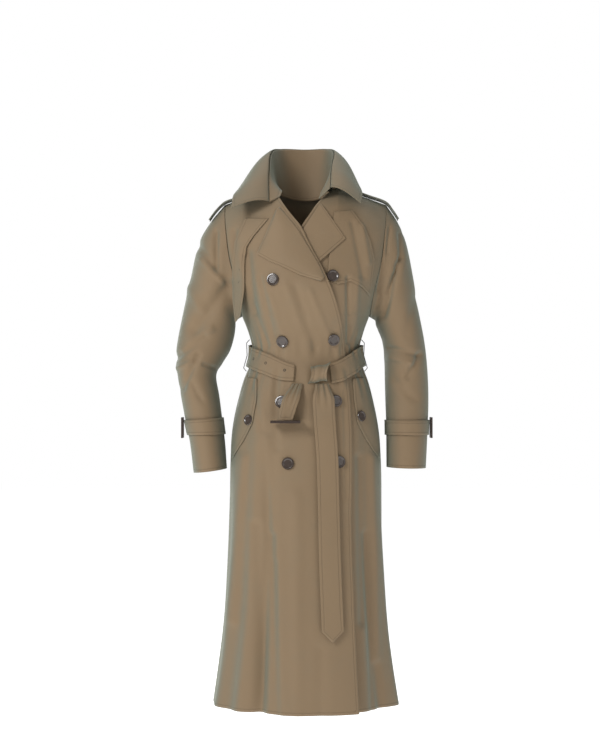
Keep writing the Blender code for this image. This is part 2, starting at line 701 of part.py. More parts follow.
def button(name, point, normal, radius, thickness):
    """Horn button: a dished face inside a rounded rim, turned from its profile."""
    profile = (
        (0.0, 0.70 * thickness),
        (0.60 * radius, 0.70 * thickness),
        (0.78 * radius, thickness),
        (0.92 * radius, 0.95 * thickness),
        (radius, 0.55 * thickness),
        (0.90 * radius, 0.10 * thickness),
        (0.70 * radius, 0.0),
        (0.0, 0.0),
    )
    turned(name, profile, 16, facing(point, normal), HORN_COLOUR, 0.25)


def outward_at(x, height):
    step = 0.002
    across = on_body(np.array(x + step), np.array(height)) - on_body(np.array(x - step), np.array(height))
    up = on_body(np.array(x), np.array(height + step)) - on_body(np.array(x), np.array(height - step))
    normal = np.cross(across, up)
    return normal / np.linalg.norm(normal)


def buttons():
    for name, x, height, shank in BUTTONS:
        on_left_flap = x > 0 and height > -0.2
        under = 0.0028 if on_left_flap else float(right_front_out(np.array(x), np.array(height)))
        point = on_body(np.array(x), np.array(height), under + shank)
        button(name, point, outward_at(x, height), BUTTON_RADIUS, BUTTON_THICKNESS)
    for name, x, height in POCKET_BUTTONS:
        under = 0.0026 + (float(right_front_out(np.array(x), np.array(height))) if x < 0 else 0)
        point = on_body(np.array(x), np.array(height), under + 0.0008)
        button(name, point, outward_at(x, height), 0.0115, 0.0034)


# ---- Build --------------------------------------------------------------------------------------
clear_scene()
COAT = new_collection("trench_coat")
CUTTERS = new_collection("cutters")
front("front_right", -1, "right_front", right_front_out, 13)
front("front_left", 1, "left_front", lambda x, level: 0.0 * x, 11)
back()
sleeve("sleeve_right", RIGHT_SLEEVE, -1)
sleeve("sleeve_left", LEFT_SLEEVE, 1)
collar()
lapels()
storm_flap()
throat_latch()
belt()
belt_end("belt_long_end", LONG_END, LONG_END_POINT)
belt_end("belt_short_end", SHORT_END, None)
knot()
belt_buckle()
belt_carriers()
pocket_flaps()
shoulder_straps()
cuff_straps()
buttons()
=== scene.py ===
"""Looks of the long double-breasted trench coat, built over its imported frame.

Each cloth piece is a fine grid surface on the form of its solid, with its folds and creases worked
out as soft ridges and troughs, and a thin wall added by Solidify.
"""

import math

import bpy
import numpy as np
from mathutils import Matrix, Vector


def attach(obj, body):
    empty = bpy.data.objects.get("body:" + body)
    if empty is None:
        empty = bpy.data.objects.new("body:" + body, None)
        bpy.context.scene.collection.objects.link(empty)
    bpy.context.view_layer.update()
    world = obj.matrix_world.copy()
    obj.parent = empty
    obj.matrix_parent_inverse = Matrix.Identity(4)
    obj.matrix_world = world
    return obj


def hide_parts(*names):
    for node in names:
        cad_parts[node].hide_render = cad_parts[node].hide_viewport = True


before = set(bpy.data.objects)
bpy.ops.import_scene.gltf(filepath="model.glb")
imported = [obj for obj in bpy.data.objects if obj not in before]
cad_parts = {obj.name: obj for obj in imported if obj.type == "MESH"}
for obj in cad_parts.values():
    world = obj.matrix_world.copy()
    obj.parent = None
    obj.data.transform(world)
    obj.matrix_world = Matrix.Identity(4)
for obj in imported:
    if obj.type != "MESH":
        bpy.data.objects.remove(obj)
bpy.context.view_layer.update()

bl_info = {
    "name": "Trench coat looks",
    "version": (1, 0, 0),
    "blender": (4, 5, 0),
    "location": "View3D > Sidebar > Trench coat",
    "description": "Builds the cloth, trimmings and studio for a belted trench coat",
    "category": "Object",
}

# ---- Sizes of the coat, metres ------------------------------------------------------------------
HEM = -1.082
UNDERARM = -0.262
NECK_HALF_WIDTH = 0.068
NECK_LEVEL = 0.016
SHOULDER_SLOPE = 0.36  # drop of the shoulder for each metre out from the neck
SHOULDER_TURN = 0.10  # height over which the chest and back turn in to the shoulder seam
ROUNDNESS = 2.3  # superellipse power of the body section

SLOPE_START = -0.17  # level above which the shoulders begin to slope
SEAM_ANGLE = 0.0018  # radians by which the fronts and the back stop short of the side seam
TOP_LEVEL = -1e-5  # highest level of a grid, just under the shoulder line

WALL = 0.0012  # thickness of the cloth
SLEEVE_ROWS, SLEEVE_SIDES = 170, 96
CUFF_ROWS = 400  # finer rows, from which the cuff straps take theirs
TURN_STEPS = 16  # steps about the axis of a small turned shape

# Outer faces of the layers, out from the body surface
STORM_FLAP_OUT = 0.0030
LAPEL_LEFT_OUT = 0.0054
OVERLAY_OUT = 0.0026  # right lapel and pocket flaps
LATCH_OUT = 0.0036
CUFF_STRAP_OUT = 0.0024

BELT_WIDTH = 0.043
BELT_OUT = 0.0068  # outer face of the belt, out from the body surface

# Section of the body at each height: half width, depth in front, depth behind
BODY_COLUMNS = ("height", "half_width", "front", "back")
BODY = (
    (-1.082, 0.197, 0.170, 0.165),
    (-1.043, 0.191, 0.166, 0.160),
    (-0.957, 0.180, 0.158, 0.153),
    (-0.871, 0.172, 0.151, 0.146),
    (-0.752, 0.165, 0.142, 0.137),
    (-0.656, 0.163, 0.136, 0.132),
    (-0.570, 0.161, 0.131, 0.128),
    (-0.505, 0.157, 0.126, 0.122),
    (-0.449, 0.147, 0.118, 0.112),
    (-0.402, 0.134, 0.108, 0.099),
    (-0.372, 0.123, 0.101, 0.089),
    (-0.335, 0.114, 0.098, 0.083),
    (-0.300, 0.122, 0.106, 0.087),
    (-0.262, 0.136, 0.121, 0.094),
    (-0.210, 0.158, 0.129, 0.100),
    (-0.160, 0.176, 0.122, 0.103),
    (-0.100, 0.186, 0.108, 0.100),
    (0.000, 0.186, 0.102, 0.095),
)

# Front edges: the right front crosses over the left one; both start at the neck and follow the lapel roll
EDGE_COLUMNS = ("height", "right_front", "left_front")
FRONT_EDGE = (
    (-1.082, 0.103, -0.075),
    (-0.889, 0.095, -0.075),
    (-0.727, 0.092, -0.075),
    (-0.439, 0.092, -0.075),
    (-0.335, 0.081, -0.075),
    (-0.304, 0.078, -0.075),
    (-0.266, 0.071, -0.074),
    (-0.231, 0.061, -0.070),
    (-0.192, 0.046, -0.060),
    (-0.153, 0.028, -0.044),
    (-0.119, 0.009, -0.027),
    (-0.086, -0.010, -0.010),
    (-0.062, -0.033, 0.008),
    (-0.038, -0.052, 0.026),
    (0.000, -0.068, 0.068),
)

# Soft folds of the body: angle round from the front at the top and at the hem, width in degrees,
# height where the fold starts, and how far it stands out at the hem
FOLDS = (
    (-58.0, -64.0, 9.0, -0.40, 0.010),
    (-36.0, -41.0, 7.0, -0.40, 0.009),
    (-24.0, -27.0, 4.5, -0.42, -0.012),
    (48.0, 52.0, 6.0, -0.45, -0.010),
    (68.0, 70.0, 7.0, -0.45, 0.010),
    (112.0, 114.0, 9.0, -0.45, -0.010),
    (138.0, 140.0, 9.0, -0.42, 0.010),
    (165.0, 166.0, 8.0, -0.42, -0.008),
    (-112.0, -114.0, 9.0, -0.45, -0.009),
    (-140.0, -142.0, 9.0, -0.42, 0.010),
    (-166.0, -167.0, 8.0, -0.42, -0.008),
)

# Sleeve rings, from the armhole to the cuff: outer and inner point seen from the front, then the
# middle and the half depth seen from the side. Distances out are from the middle of the coat.
RIGHT_SLEEVE = (
    (0.205, -0.060, 0.143, -0.2655, 0.004, 0.066),
    (0.230, -0.105, 0.150, -0.270, 0.006, 0.070),
    (0.247, -0.178, 0.151, -0.284, 0.008, 0.069),
    (0.262, -0.245, 0.154, -0.305, 0.010, 0.065),
    (0.2745, -0.307, 0.163, -0.335, 0.010, 0.062),
    (0.2795, -0.350, 0.179, -0.362, 0.008, 0.060),
    (0.275, -0.388, 0.192, -0.388, 0.004, 0.057),
    (0.266, -0.440, 0.185, -0.433, -0.003, 0.055),
    (0.256, -0.490, 0.178, -0.486, -0.010, 0.053),
    (0.247, -0.533, 0.172, -0.533, -0.016, 0.053),
    (0.239, -0.595, 0.168, -0.586, -0.022, 0.054),
)
LEFT_SLEEVE = (
    (0.199, -0.060, 0.143, -0.2655, 0.004, 0.066),
    (0.217, -0.105, 0.150, -0.270, 0.006, 0.070),
    (0.232, -0.178, 0.152, -0.280, 0.008, 0.069),
    (0.243, -0.245, 0.157, -0.292, 0.010, 0.065),
    (0.255, -0.307, 0.166, -0.316, 0.010, 0.062),
    (0.261, -0.355, 0.170, -0.355, 0.008, 0.060),
    (0.264, -0.405, 0.171, -0.405, 0.004, 0.057),
    (0.264, -0.452, 0.172, -0.452, -0.003, 0.055),
    (0.262, -0.490, 0.173, -0.490, -0.010, 0.053),
    (0.260, -0.533, 0.173, -0.533, -0.016, 0.053),
    (0.257, -0.585, 0.173, -0.583, -0.022, 0.054),
)

# Collar sections round the neck, from the right front end over the back to the left front end:
# the roll line at the top of the stand, and the free edge of the leaf
COLLAR_COLUMNS = ("roll_x", "roll_y", "roll_z", "edge_x", "edge_y", "edge_z")
COLLAR = (
    (-0.078, -0.096, -0.024, -0.155, -0.110, -0.038),
    (-0.079, -0.050, 0.040, -0.150, -0.062, -0.004),
    (-0.074, 0.006, 0.093, -0.134, 0.006, 0.014),
    (-0.050, 0.056, 0.106, -0.082, 0.088, 0.012),
    (0.000, 0.072, 0.107, 0.000, 0.108, 0.004),
    (0.044, 0.056, 0.106, 0.072, 0.088, 0.012),
    (0.062, 0.006, 0.094, 0.111, 0.006, 0.018),
    (0.056, -0.050, 0.052, 0.119, -0.062, 0.000),
    (0.053, -0.088, 0.006, 0.115, -0.112, -0.030),
)

# Middle height of the belt at each angle round from the front
BELT_COLUMNS = ("angle", "height")
BELT_LINE = (
    (-180.0, -0.345),
    (-90.0, -0.345),
    (-62.0, -0.352),
    (-38.0, -0.364),
    (-15.0, -0.380),
    (5.0, -0.385),
    (22.0, -0.383),
    (45.0, -0.366),
    (65.0, -0.351),
    (90.0, -0.345),
    (180.0, -0.345),
)
KNOT_CENTRE = (0.027, -0.384)
KNOT_OUT = 0.0052  # back of the knot, out from the body surface

# Belt ends below the knot: height, middle, half width and how far out from the body
END_COLUMNS = ("height", "middle", "half_width", "out")
LONG_END = (
    (-0.405, 0.0330, 0.0215, 0.0026),
    (-0.422, 0.0342, 0.0215, 0.0086),
    (-0.470, 0.0370, 0.0215, 0.0086),
    (-0.560, 0.0430, 0.0212, 0.0086),
    (-0.650, 0.0450, 0.0210, 0.0086),
    (-0.780, 0.0470, 0.0208, 0.0086),
    (-0.912, 0.0515, 0.0205, 0.0086),
)
LONG_END_POINT = -0.935
SHORT_END = (
    (-0.405, -0.0160, 0.0170, 0.0026),
    (-0.430, -0.0260, 0.0165, 0.0160),
    (-0.455, -0.0330, 0.0150, 0.0220),
    (-0.4795, -0.0385, 0.0140, 0.0270),
)

# Creases of the fronts and the back: start (x, z), end (x, z), half width, depth outwards
FRONT_CREASES = (
    (-0.122, -0.135, -0.108, -0.255, 0.010, -0.0060),
    (-0.108, -0.245, -0.078, -0.325, 0.006, -0.0030),
    (-0.093, -0.185, -0.060, -0.325, 0.006, -0.0028),
    (-0.070, -0.225, -0.050, -0.300, 0.007, 0.0022),
    (-0.020, -0.205, 0.020, -0.330, 0.008, -0.0030),
    (0.010, -0.215, 0.052, -0.320, 0.007, 0.0025),
    (-0.040, -0.200, -0.010, -0.290, 0.008, 0.0018),
    (0.088, -0.185, 0.092, -0.320, 0.005, -0.0045),
    (0.108, -0.190, 0.106, -0.300, 0.007, 0.0030),
    (0.098, -0.070, 0.120, -0.180, 0.007, -0.0030),
    (0.118, -0.075, 0.130, -0.150, 0.006, 0.0025),
    (-0.150, -0.085, -0.142, -0.185, 0.008, -0.0040),
    (-0.112, -0.400, -0.090, -0.500, 0.007, -0.0022),
    (-0.062, -0.395, -0.060, -0.540, 0.007, -0.0028),
    (-0.030, -0.400, -0.045, -0.480, 0.006, 0.0018),
    (-0.078, -0.520, -0.064, -0.760, 0.008, 0.0030),
    (-0.100, -0.700, -0.090, -1.082, 0.012, -0.0060),
    (-0.068, -0.720, -0.056, -1.082, 0.008, -0.0060),
    (-0.128, -0.560, -0.150, -0.900, 0.010, 0.0045),
    (-0.020, -0.640, -0.015, -1.080, 0.014, 0.0030),
    (0.030, -0.950, 0.030, -1.082, 0.012, -0.0025),
    (0.080, -0.420, 0.082, -0.640, 0.004, -0.0018),
    (0.112, -0.560, 0.118, -0.900, 0.009, -0.0050),
    (0.140, -0.560, 0.150, -0.980, 0.008, 0.0045),
    (0.128, -0.720, 0.140, -1.082, 0.008, -0.0045),
)
BACK_CREASES = (
    (-0.090, -0.150, -0.060, -0.310, 0.009, -0.0035),
    (0.085, -0.160, 0.062, -0.310, 0.009, -0.0035),
    (-0.030, -0.200, -0.020, -0.320, 0.008, 0.0022),
    (0.035, -0.210, 0.022, -0.325, 0.008, 0.0020),
    (-0.125, -0.120, -0.110, -0.240, 0.010, -0.0035),
    (0.125, -0.110, 0.112, -0.245, 0.010, -0.0035),
    (-0.060, -0.395, -0.075, -0.560, 0.009, -0.0030),
    (0.055, -0.395, 0.080, -0.600, 0.009, -0.0030),
    (0.000, -0.400, 0.004, -0.700, 0.010, 0.0028),
    (-0.110, -0.640, -0.125, -1.082, 0.013, -0.0060),
    (0.105, -0.620, 0.130, -1.082, 0.013, -0.0060),
    (-0.030, -0.700, -0.040, -1.082, 0.013, -0.0050),
    (0.045, -0.720, 0.060, -1.082, 0.012, -0.0045),
)
# Creases of the sleeves, seen from the front and repeated a little weaker behind
RIGHT_SLEEVE_CREASES = (
    (-0.279, -0.350, -0.215, -0.305, 0.008, -0.0060),
    (-0.262, -0.335, -0.200, -0.290, 0.007, 0.0040),
    (-0.228, -0.345, -0.262, -0.415, 0.007, -0.0050),
    (-0.215, -0.365, -0.195, -0.372, 0.005, -0.0040),
    (-0.272, -0.372, -0.240, -0.360, 0.006, 0.0040),
    (-0.240, -0.405, -0.205, -0.470, 0.007, -0.0035),
    (-0.165, -0.200, -0.235, -0.290, 0.014, -0.0080),
    (-0.230, -0.110, -0.190, -0.165, 0.009, -0.0045),
    (-0.222, -0.140, -0.175, -0.190, 0.007, 0.0040),
    (-0.190, -0.085, -0.188, -0.160, 0.006, -0.0050),
    (-0.250, -0.200, -0.220, -0.250, 0.010, 0.0030),
)
LEFT_SLEEVE_CREASES = (
    (0.158, -0.075, 0.152, -0.205, 0.006, -0.0050),
    (0.178, -0.075, 0.172, -0.125, 0.005, -0.0040),
    (0.166, -0.080, 0.164, -0.150, 0.005, 0.0030),
    (0.202, -0.085, 0.203, -0.140, 0.006, -0.0050),
    (0.203, -0.140, 0.172, -0.210, 0.006, -0.0055),
    (0.196, -0.155, 0.165, -0.260, 0.008, -0.0070),
    (0.185, -0.170, 0.200, -0.150, 0.004, 0.0035),
    (0.178, -0.330, 0.240, -0.345, 0.006, -0.0050),
    (0.244, -0.345, 0.216, -0.390, 0.007, -0.0050),
    (0.180, -0.350, 0.225, -0.362, 0.006, 0.0035),
    (0.190, -0.400, 0.230, -0.440, 0.009, -0.0030),
    (0.235, -0.220, 0.215, -0.300, 0.010, -0.0025),
)

BROWN = (0.235, 0.162, 0.092)
# Grey-green laid on as painted sheen where the cloth turns to the side or upwards
PAINTED_SHEEN_GREEN = (0.165, 0.160, 0.118)
HORN = (0.018, 0.012, 0.009)
LEATHER = (0.022, 0.012, 0.008)
THREAD = (0.010, 0.009, 0.008)
STITCH_INSET = 0.006

# ---- Numbers along a table ----------------------------------------------------------------------
def column(table, names, name):
    """One named column of a table, as an array."""
    return np.array([row[names.index(name)] for row in table], float)


def smooth_along(at, knots, values):
    """Cubic curve through the values, whose slope at each knot is that of its two neighbours."""
    order = np.argsort(knots)
    knots, values = knots[order], values[order]
    slopes = np.gradient(values, knots)
    at = np.clip(at, knots[0], knots[-1])
    i = np.clip(np.searchsorted(knots, at) - 1, 0, len(knots) - 2)
    span = knots[i + 1] - knots[i]
    t = (at - knots[i]) / span
    start = (2 * t**3 - 3 * t**2 + 1) * values[i] + (t**3 - 2 * t**2 + t) * span * slopes[i]
    end = (3 * t**2 - 2 * t**3) * values[i + 1] + (t**3 - t**2) * span * slopes[i + 1]
    return start + end


def ramp(value, low, high):
    """Rises softly from 0 at low to 1 at high, or falls where high is below low."""
    t = np.clip((value - low) / (high - low), 0, 1)
    return t * t * (3 - 2 * t)


def body_column(name, height):
    return smooth_along(height, column(BODY, BODY_COLUMNS, "height"), column(BODY, BODY_COLUMNS, name))


# ---- The body surface ---------------------------------------------------------------------------
def folds(angle, level):
    """How far the soft folds stand out: a bell across each fold, growing from its start to the hem."""
    total = np.zeros(np.broadcast(angle, level).shape)
    for top, hem, width, start, reach in FOLDS:
        down = np.clip((start - level) / (start - HEM), 0, 1)
        middle = np.radians(top + (hem - top) * down)
        away = (angle - middle + math.pi) % (2 * math.pi) - math.pi
        total = total + reach * down**0.8 * np.exp(-((away / math.radians(width)) ** 2))
    return total


def body(angle, level, out=0.0):
    """Points of the body surface.

    angle runs round from the front, level is the height before the shoulders slope, and out is the
    distance outwards. x and y follow a superellipse, and near the shoulder the depth shrinks as a
    quarter circle does, so that front and back meet along the shoulder.
    """
    angle, level, out = np.broadcast_arrays(angle, level, out)
    sine, cosine = np.sin(angle), np.cos(angle)
    power = 2 / ROUNDNESS
    half = body_column("half_width", level)
    depth = np.where(cosine > 0, body_column("front", level), body_column("back", level))
    turn = np.clip((level + SHOULDER_TURN) / SHOULDER_TURN, 0, 1)
    flat = np.sqrt(np.maximum(1 - turn**2, 0))
    x = half * np.sign(sine) * np.abs(sine) ** power
    y = -depth * flat * np.sign(cosine) * np.abs(cosine) ** power
    slope = NECK_LEVEL - SHOULDER_SLOPE * np.maximum(np.abs(x) - NECK_HALF_WIDTH, 0)
    z = level + slope * ramp(level, SLOPE_START, 0)
    normal_x = np.sign(sine) * np.abs(sine) ** (2 - power) / half
    normal_y = -np.sign(cosine) * np.abs(cosine) ** (2 - power) / depth * np.maximum(flat, 1e-3)
    normal_z = turn / SHOULDER_TURN
    length = np.sqrt(normal_x**2 + normal_y**2 + normal_z**2)
    face = np.where(cosine > 0, creased(x, z, FRONT_CREASES), creased(x, z, BACK_CREASES))
    face = face * ramp(np.abs(cosine), 0.02, 0.25) + gathers(angle, level) + drift(angle, level)
    reach = out + folds(angle, level) + face
    return np.stack(
        [x + reach * normal_x / length, y + reach * normal_y / length, z + reach * normal_z / length], -1
    )


def angle_at(x, level):
    """Angle round from the front of the point whose distance across is x."""
    share = np.clip(np.abs(x) / body_column("half_width", level), 0, 0.992)
    return np.sign(x) * np.arcsin(share ** (ROUNDNESS / 2))


def level_at(x, height):
    """Level whose point at x stands at the given height, found by repeating the step a few times."""
    level = np.array(height, float)
    slope = NECK_LEVEL - SHOULDER_SLOPE * np.maximum(np.abs(x) - NECK_HALF_WIDTH, 0)
    for _ in range(25):
        level = height - slope * ramp(level, SLOPE_START, 0)
    return np.minimum(level, -0.0005)


def on_body(x, height, out=0.0):
    """Point of the front of the body at a distance across and a height."""
    level = level_at(x, height)
    return body(angle_at(x, level), level, out)


def armhole_angle(level):
    """Angle at which the front or the back stops at the armhole: at the side seam below it, and
    opening like a quarter ellipse above the underarm."""
    rise = np.clip((level - UNDERARM) / 0.10, 0, 1)
    opening = 29 * np.sqrt(1 - (1 - rise) ** 2) - 5 * ramp(level, -0.10, 0)
    return np.radians(90 - opening)


def right_front_out(x, level):
    """The right front lies on the left one where they cross, over its lapel higher up, and its
    folded-back width stands forward towards the hem."""
    crossing = ramp(x, -0.125, -0.085)
    over_lapel = ramp(level, -0.26, -0.18) * ramp(x, -0.10, -0.04)
    standing = ramp(level, -0.45, HEM) * ramp(x, -0.072, -0.050)
    return 0.0039 * crossing + 0.0062 * over_lapel + 0.012 * standing


def creased(x, z, table):
    """Sum of soft creases: a bell across the distance from each straight crease, in (x, z)."""
    total = np.zeros(np.broadcast(x, z).shape)
    for x0, z0, x1, z1, width, reach in table:
        along_x, along_z = x1 - x0, z1 - z0
        share = np.clip(((x - x0) * along_x + (z - z0) * along_z) / (along_x**2 + along_z**2), 0, 1)
        away = (x - x0 - share * along_x) ** 2 + (z - z0 - share * along_z) ** 2
        total = total + reach * np.exp(-away / width**2)
    return total


def gathers(angle, level):
    """Small pleats pulled in by the belt: three waves of unlike spacing that fade up and down."""
    near = np.exp(-(((level + 0.362) / 0.055) ** 2)) * (1 - np.exp(-(((level + 0.362) / 0.022) ** 2)))
    wave = np.sin(23 * angle + 1.1) + 0.7 * np.sin(37 * angle + 0.4) + 0.5 * np.sin(11 * angle + 2.0)
    return 0.0016 * near * wave


def drift(angle, level):
    """Slow unevenness of hanging cloth: a few long waves."""
    return 0.0012 * np.sin(5 * angle + 9 * level) * np.sin(14 * level + 2 * angle) * ramp(level, -0.02, -0.12)


# ---- Grids to meshes ----------------------------------------------------------------------------
def lengths(points, axis):
    """Distance along the grid lines of one axis, from its first row or column."""
    steps = np.linalg.norm(np.diff(points, axis=axis), axis=-1)
    pad = [(0, 0), (0, 0)]
    pad[axis] = (1, 0)
    return np.pad(np.cumsum(steps, axis=axis), pad)


def painted_sheen_of(points):
    """How far the cloth turns away to the side or upwards, 0 facing front or back and 1 at the side: the mask of the
    painted sheen that turns the brown grey-green.
    """
    normal = np.cross(np.gradient(points, axis=1), np.gradient(points, axis=0))
    normal /= np.maximum(np.linalg.norm(normal, axis=-1, keepdims=True), 1e-12)
    side = 1 - np.abs(normal[..., 1])
    return np.clip((side - 0.10) / 0.55, 0, 1)


def cloth(
    name, points, outwards, nodes, closed=False, stitched="tblr", wall=WALL
):
    """Makes a cloth piece from a grid of its outer face: mesh, UV in metres, distance from the
    stitched edges, painted sheen mask, wall, and the hiding of the frame's parts it replaces. Its flat
    width is measured on this surface, along its longest row, not taken from a pattern, and is not used."""
    rows, columns = points.shape[:2]
    across, down = lengths(points, 1), lengths(points, 0)
    edges = [np.full((rows, columns), 1.0)]
    if "t" in stitched:
        edges.append(down)
    if "b" in stitched:
        edges.append(down[-1:] - down)
    if "l" in stitched and not closed:
        edges.append(across)
    if "r" in stitched and not closed:
        edges.append(across[:, -1:] - across)
    edge = np.minimum.reduce(edges)
    around = columns if closed else columns - 1
    first = (np.arange(rows - 1)[:, None] * columns + np.arange(around)).ravel()
    right = (np.arange(rows - 1)[:, None] * columns + (np.arange(around) + 1) % columns).ravel()
    faces = np.stack([first, right, right + columns, first + columns], 1)
    mesh = bpy.data.meshes.new(name)
    mesh.from_pydata(points.reshape(-1, 3).tolist(), [], faces.tolist())
    # The painted sheen mask is kept as a point attribute beside the distance from the stitched edges
    for label, values in (("edge_distance", edge), ("painted_sheen", painted_sheen_of(points))):
        mesh.attributes.new(label, "FLOAT", "POINT").data.foreach_set("value", values.ravel().astype(np.float32))
    corner_vertex = np.empty(len(mesh.loops), np.int32)
    mesh.loops.foreach_get("vertex_index", corner_vertex)
    flat = np.stack([across.ravel(), down.ravel()], 1)[corner_vertex]
    mesh.uv_layers.new(name="cut").data.foreach_set("uv", flat.ravel().astype(np.float32))
    middle = mesh.polygons[len(mesh.polygons) // 2]
    if middle.normal.dot(Vector(outwards)) < 0:
        mesh.flip_normals()
    mesh.shade_smooth()
    mesh.materials.append(gabardine())
    obj = bpy.data.objects.new(name, mesh)
    bpy.context.scene.collection.objects.link(obj)
    solid = obj.modifiers.new("Wall", "SOLIDIFY")
    solid.thickness = wall
    solid.offset = -1
    solid.use_even_offset = False
    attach(obj, "root")
    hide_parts(*nodes)
    width = float(across[:, -1].max())
    if closed:
        width += float(np.linalg.norm(points[:, -1] - points[:, 0], axis=-1).max())
    return obj


def lumps(name, shapes, make_material):
    """One joined mesh of small closed turned shapes: each is (centre, axis, profile of radius and
    height), turned in equal steps about its axis."""
    steps = np.arange(TURN_STEPS)
    turn = steps * 2 * math.pi / TURN_STEPS
    points, faces, start = [], [], 0
    for centre, axis, profile in shapes:
        axis = np.array(axis) / np.linalg.norm(axis)
        side = np.cross(axis, (0.0, 0.0, 1.0))
        side = side / np.linalg.norm(side) if np.linalg.norm(side) > 1e-6 else np.array((1.0, 0.0, 0.0))
        other = np.cross(axis, side)
        radius, height = np.array(profile).T
        spoke = np.cos(turn)[None, :, None] * side + np.sin(turn)[None, :, None] * other
        ring = radius[:, None, None] * spoke + height[:, None, None] * axis + np.array(centre)
        points.append(ring.reshape(-1, 3))
        rows = np.arange(len(profile) - 1)[:, None] * TURN_STEPS
        base = (rows + steps).ravel()
        beside = (rows + (steps + 1) % TURN_STEPS).ravel()
        faces += (start + np.stack([base, beside, beside + TURN_STEPS, base + TURN_STEPS], 1)).tolist()
        faces.append((start + steps)[::-1].tolist())
        faces.append((start + (len(profile) - 1) * TURN_STEPS + steps).tolist())
        start += len(profile) * TURN_STEPS
    mesh = bpy.data.meshes.new(name)
    mesh.from_pydata(np.concatenate(points).tolist(), [], faces)
    mesh.materials.append(make_material())
    mesh.shade_smooth()
    obj = bpy.data.objects.new(name, mesh)
    bpy.context.scene.collection.objects.link(obj)
    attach(obj, "root")
    return obj


# ---- Materials ----------------------------------------------------------------------------------
def new_material(name):
    """A material and its shader, or None for the shader where the material is already there."""
    if name in bpy.data.materials:
        return bpy.data.materials[name], None
    made = bpy.data.materials.new(name)
    made.use_nodes = True
    return made, made.node_tree.nodes["Principled BSDF"]


def math_node(tree, operation, first, second=None, clamp=False):
    node = tree.nodes.new("ShaderNodeMath")
    node.operation = operation
    node.use_clamp = clamp
    for socket, value in zip(node.inputs, (first, second)):
        if value is None:
            continue
        if isinstance(value, (int, float)):
            socket.default_value = value
        else:
            tree.links.new(value, socket)
    return node.outputs[0]


def noise(tree, place, scale, detail):
    """Value of a noise pattern on the object's own coordinates."""
    node = tree.nodes.new("ShaderNodeTexNoise")
    node.inputs["Scale"].default_value = scale
    node.inputs["Detail"].default_value = detail
    tree.links.new(place.outputs["Object"], node.inputs["Vector"])
    return node.outputs["Fac"]


def gabardine():
    """Gabardine: brown that turns grey-green as a painted sheen where the cloth turns to the side or
    upwards, a fine diagonal twill bump, a soft mottle, and a stitched line along the edges, darkened as painted
    shade in its groove."""
    made, shader = new_material("gabardine_cloth")
    if shader is None:
        return made
    tree = made.node_tree
    add, link = tree.nodes.new, tree.links.new
    colours = bpy.context.scene.coat_cloth
    painted_sheen = add("ShaderNodeAttribute")
    painted_sheen.attribute_name = "painted_sheen"
    edge = add("ShaderNodeAttribute")
    edge.attribute_name = "edge_distance"
    uv = add("ShaderNodeUVMap")
    uv.uv_map = "cut"
    place = add("ShaderNodeTexCoord")
    # Painted sheen: the brown turns grey-green where the cloth turns to the side or upwards, its mask shifted by a
    # random mottle
    painted_sheen_mix = add("ShaderNodeMix")
    painted_sheen_mix.data_type = "RGBA"
    painted_sheen_mix.inputs[6].default_value = (*colours.face, 1)
    painted_sheen_mix.inputs[7].default_value = (*colours.turned, 1)
    uneven = math_node(tree, "MULTIPLY", math_node(tree, "SUBTRACT", noise(tree, place, 26, 4), 0.5), 0.35)
    shifted = math_node(tree, "ADD", painted_sheen.outputs["Fac"], uneven, clamp=True)
    link(shifted, painted_sheen_mix.inputs[0])
    line = math_node(tree, "ABSOLUTE", math_node(tree, "SUBTRACT", edge.outputs["Fac"], STITCH_INSET))
    seam = math_node(tree, "SUBTRACT", 1.0, math_node(tree, "DIVIDE", line, 0.0012), clamp=True)
    # Painted shade: the colour is darkened along the stitched line, standing in for the shade in its groove
    painted_groove_shade = add("ShaderNodeMix")
    painted_groove_shade.data_type = "RGBA"
    painted_groove_shade.blend_type = "MULTIPLY"
    painted_groove_shade.inputs[7].default_value = (0.62, 0.60, 0.58, 1)
    link(math_node(tree, "MULTIPLY", seam, 0.75), painted_groove_shade.inputs[0])
    link(painted_sheen_mix.outputs[2], painted_groove_shade.inputs[6])
    link(painted_groove_shade.outputs[2], shader.inputs["Base Color"])
    turn = add("ShaderNodeMapping")
    turn.inputs["Rotation"].default_value = (0, 0, math.radians(63))
    link(uv.outputs["UV"], turn.inputs["Vector"])
    twill = add("ShaderNodeTexWave")
    twill.inputs["Scale"].default_value = 420
    twill.inputs["Distortion"].default_value = 0.6
    link(turn.outputs["Vector"], twill.inputs["Vector"])
    weave = math_node(tree, "MULTIPLY", twill.outputs["Fac"], 0.10)
    height = math_node(tree, "SUBTRACT", weave, math_node(tree, "MULTIPLY", seam, 0.9))
    crumple = math_node(tree, "MULTIPLY", noise(tree, place, 70, 3), 0.8)
    height = math_node(tree, "ADD", height, crumple)
    bump = add("ShaderNodeBump")
    bump.inputs["Strength"].default_value = 0.45
    bump.inputs["Distance"].default_value = 0.0010
    link(height, bump.inputs["Height"])
    link(bump.outputs["Normal"], shader.inputs["Normal"])
    shader.inputs["Roughness"].default_value = 0.66
    shader.inputs["Specular IOR Level"].default_value = 0.35
    shader.inputs["Sheen Weight"].default_value = 0.30
    shader.inputs["Sheen Roughness"].default_value = 0.45
    shader.inputs["Sheen Tint"].default_value = (0.62, 0.72, 0.62, 1)
    return made


